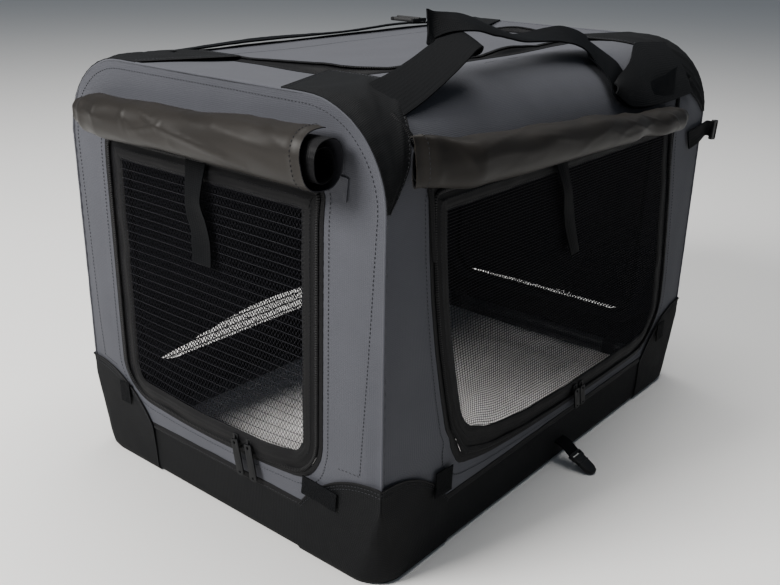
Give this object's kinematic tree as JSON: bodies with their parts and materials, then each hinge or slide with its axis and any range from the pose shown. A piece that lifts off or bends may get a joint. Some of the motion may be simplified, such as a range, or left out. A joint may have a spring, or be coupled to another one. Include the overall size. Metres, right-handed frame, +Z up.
{
  "type": "dog travel crate",
  "caption": "Soft-sided folding dog crate: steel tube frame in a fabric cover, zipped mesh doors and roof flap, rolled-up window flaps, carry handles and a base tray.",
  "frame": {"origin": "on the floor, under the middle of the crate", "axes": "+Z up, +X along the length and away from the end that has the door, +Y across the width and away from the long side that has the door"},
  "size_m": [0.8748, 0.6248, 0.6367],
  "materials": {
    "grey_fabric": "woven polyester, matt",
    "black_fabric": "coarse woven polyester, matt",
    "flap_lining": "coated lining cloth, satin",
    "mesh_net": "knitted mesh",
    "webbing": "woven strap",
    "fleece": "brushed pile",
    "floor_board": "hardboard",
    "steel_tube": "powder coated, semi-gloss",
    "rivet_steel": "zinc plated",
    "black_plastic": "moulded",
    "black_zinc": "lacquered die casting"
  },
  "bodies": {
    "crate_base": {"base_tray": "black_fabric", "floor_board": "floor_board", "floor_mat": "fleece", "corner_guard_front_left": "black_fabric", "corner_guard_front_right": "black_fabric", "corner_guard_rear_left": "black_fabric", "corner_guard_rear_right": "black_fabric", "base_frame_left": "steel_tube", "base_frame_right": "steel_tube", "base_coupler_front": "black_plastic", "base_coupler_rear": "black_plastic", "hoop_saddle_front_left": "black_plastic", "hoop_saddle_front_right": "black_plastic", "hoop_saddle_rear_left": "black_plastic", "hoop_saddle_rear_right": "black_plastic", "front_panel": "grey_fabric", "rear_panel": "grey_fabric", "left_panel": "grey_fabric", "right_panel": "grey_fabric", "rear_window_net": "mesh_net", "right_window_net": "mesh_net", "front_flap_roll": "flap_lining", "left_flap_roll": "flap_lining", "roof_patch_front_left": "black_fabric", "roof_patch_front_right": "black_fabric", "roof_patch_rear_left": "black_fabric", "roof_patch_rear_right": "black_fabric"},
    "left_lower_legs": {"lower_hoop_left": "steel_tube", "knee_bracket_front_left": "steel_tube", "knee_bracket_rear_left": "steel_tube", "knee_rivet_front_left": "rivet_steel", "knee_rivet_rear_left": "rivet_steel"},
    "left_upper_legs": {"upper_hoop_left": "steel_tube"},
    "right_lower_legs": {"lower_hoop_right": "steel_tube", "knee_bracket_front_right": "steel_tube", "knee_bracket_rear_right": "steel_tube", "knee_rivet_front_right": "rivet_steel", "knee_rivet_rear_right": "rivet_steel"},
    "right_upper_legs": {"upper_hoop_right": "steel_tube"},
    "roof": {"spreader_bar_front": "steel_tube", "spreader_bar_rear": "steel_tube", "roof_tee_front_left": "black_plastic", "roof_tee_front_right": "black_plastic", "roof_tee_rear_left": "black_plastic", "roof_tee_rear_right": "black_plastic", "roof_panel": "grey_fabric"},
    "roof_flap": {"roof_door": "grey_fabric"},
    "front_carry_handle": {"front_handle": "webbing"},
    "rear_carry_handle": {"rear_handle": "webbing"},
    "front_door": {"front_door_net": "mesh_net", "front_tie_strap": "webbing"},
    "left_door": {"left_door_net": "mesh_net", "left_tie_strap": "webbing"},
    "rear_flap": {"rear_window_flap": "grey_fabric"},
    "right_flap": {"right_window_flap": "grey_fabric"},
    "front_zip": {"front_door_slider": "black_zinc"},
    "left_zip_front": {"left_door_slider_front": "black_zinc"},
    "left_zip_rear": {"left_door_slider_rear": "black_zinc"},
    "closure_tongue": {"closure_strap": "webbing", "closure_buckle": "black_plastic"}
  },
  "joints": [
    {"name": "frame_fold", "type": "hinge", "parent": "crate_base", "child": "left_lower_legs", "pos_m": [-0.37689, 0, 0.0317], "axis": [0, 1, 0], "range_deg": [0, 88], "deforming": ["corner_guard_front_left", "corner_guard_front_right", "corner_guard_rear_left", "corner_guard_rear_right", "front_panel", "rear_panel", "left_panel", "right_panel", "front_door_net", "rear_window_net", "left_door_net", "right_window_net", "front_flap_roll", "left_flap_roll", "rear_window_flap", "right_window_flap", "roof_patch_front_left", "roof_patch_front_right", "roof_patch_rear_left", "roof_patch_rear_right", "front_tie_strap", "left_tie_strap", "front_door_slider", "left_door_slider_front", "left_door_slider_rear"]},
    {"name": "left_knee", "type": "hinge", "parent": "left_lower_legs", "child": "left_upper_legs", "pos_m": [-0.38569, 0, 0.29795], "axis": [0, -1, 0], "range_deg": [0, 176]},
    {"name": "roof_swivel", "type": "hinge", "parent": "left_upper_legs", "child": "roof", "pos_m": [-0.37689, 0, 0.5642], "axis": [0, 1, 0], "range_deg": [0, 88]},
    {"name": "right_fold", "type": "hinge", "parent": "crate_base", "child": "right_lower_legs", "pos_m": [0.37689, 0, 0.0317], "axis": [0, -1, 0], "range_deg": [0, 88]},
    {"name": "right_knee", "type": "hinge", "parent": "right_lower_legs", "child": "right_upper_legs", "pos_m": [0.38569, 0, 0.29795], "axis": [0, 1, 0], "range_deg": [0, 176]},
    {"name": "front_door_hinge", "type": "hinge", "parent": "crate_base", "child": "front_door", "pos_m": [0, -0.2727, 0.479], "axis": [1, 0, 0], "range_deg": [-80, 0]},
    {"name": "left_door_hinge", "type": "hinge", "parent": "crate_base", "child": "left_door", "pos_m": [-0.3977, 0, 0.479], "axis": [0, -1, 0], "range_deg": [-80, 0]},
    {"name": "rear_flap_hinge", "type": "hinge", "parent": "crate_base", "child": "rear_flap", "pos_m": [0, 0.2753, 0.512], "axis": [-1, 0, 0], "range_deg": [-110, 0]},
    {"name": "right_flap_hinge", "type": "hinge", "parent": "crate_base", "child": "right_flap", "pos_m": [0.4003, 0, 0.512], "axis": [0, 1, 0], "range_deg": [-110, 0]},
    {"name": "roof_flap_hinge", "type": "hinge", "parent": "roof", "child": "roof_flap", "pos_m": [0, 0.123, 0.5782], "axis": [1, 0, 0], "range_deg": [-112, 0]},
    {"name": "front_handle_swing", "type": "hinge", "parent": "roof", "child": "front_carry_handle", "pos_m": [0, -0.195, 0.58], "axis": [-1, 0, 0], "range_deg": [-85, 0]},
    {"name": "rear_handle_swing", "type": "hinge", "parent": "roof", "child": "rear_carry_handle", "pos_m": [0, 0.195, 0.58], "axis": [1, 0, 0], "range_deg": [-85, 0]},
    {"name": "front_zip_slide", "type": "slide", "parent": "front_door", "child": "front_zip", "axis": [-1, 0, 0], "range_m": [-0.198, 0]},
    {"name": "left_zip_front_slide", "type": "slide", "parent": "left_door", "child": "left_zip_front", "axis": [0, 1, 0], "range_m": [-0.079, 0]},
    {"name": "left_zip_rear_slide", "type": "slide", "parent": "left_door", "child": "left_zip_rear", "axis": [0, -1, 0], "range_m": [-0.185, 0]},
    {"name": "closure_hinge", "type": "hinge", "parent": "crate_base", "child": "closure_tongue", "pos_m": [0.012, -0.2753, 0.034], "axis": [1, 0, 0], "range_deg": [-110, 0]}
  ],
  "couplings": [
    {"joint": "left_knee", "follows": "frame_fold", "ratio": 2},
    {"joint": "roof_swivel", "follows": "frame_fold", "ratio": 1},
    {"joint": "right_fold", "follows": "frame_fold", "ratio": 1},
    {"joint": "right_knee", "follows": "frame_fold", "ratio": 2}
  ]
}
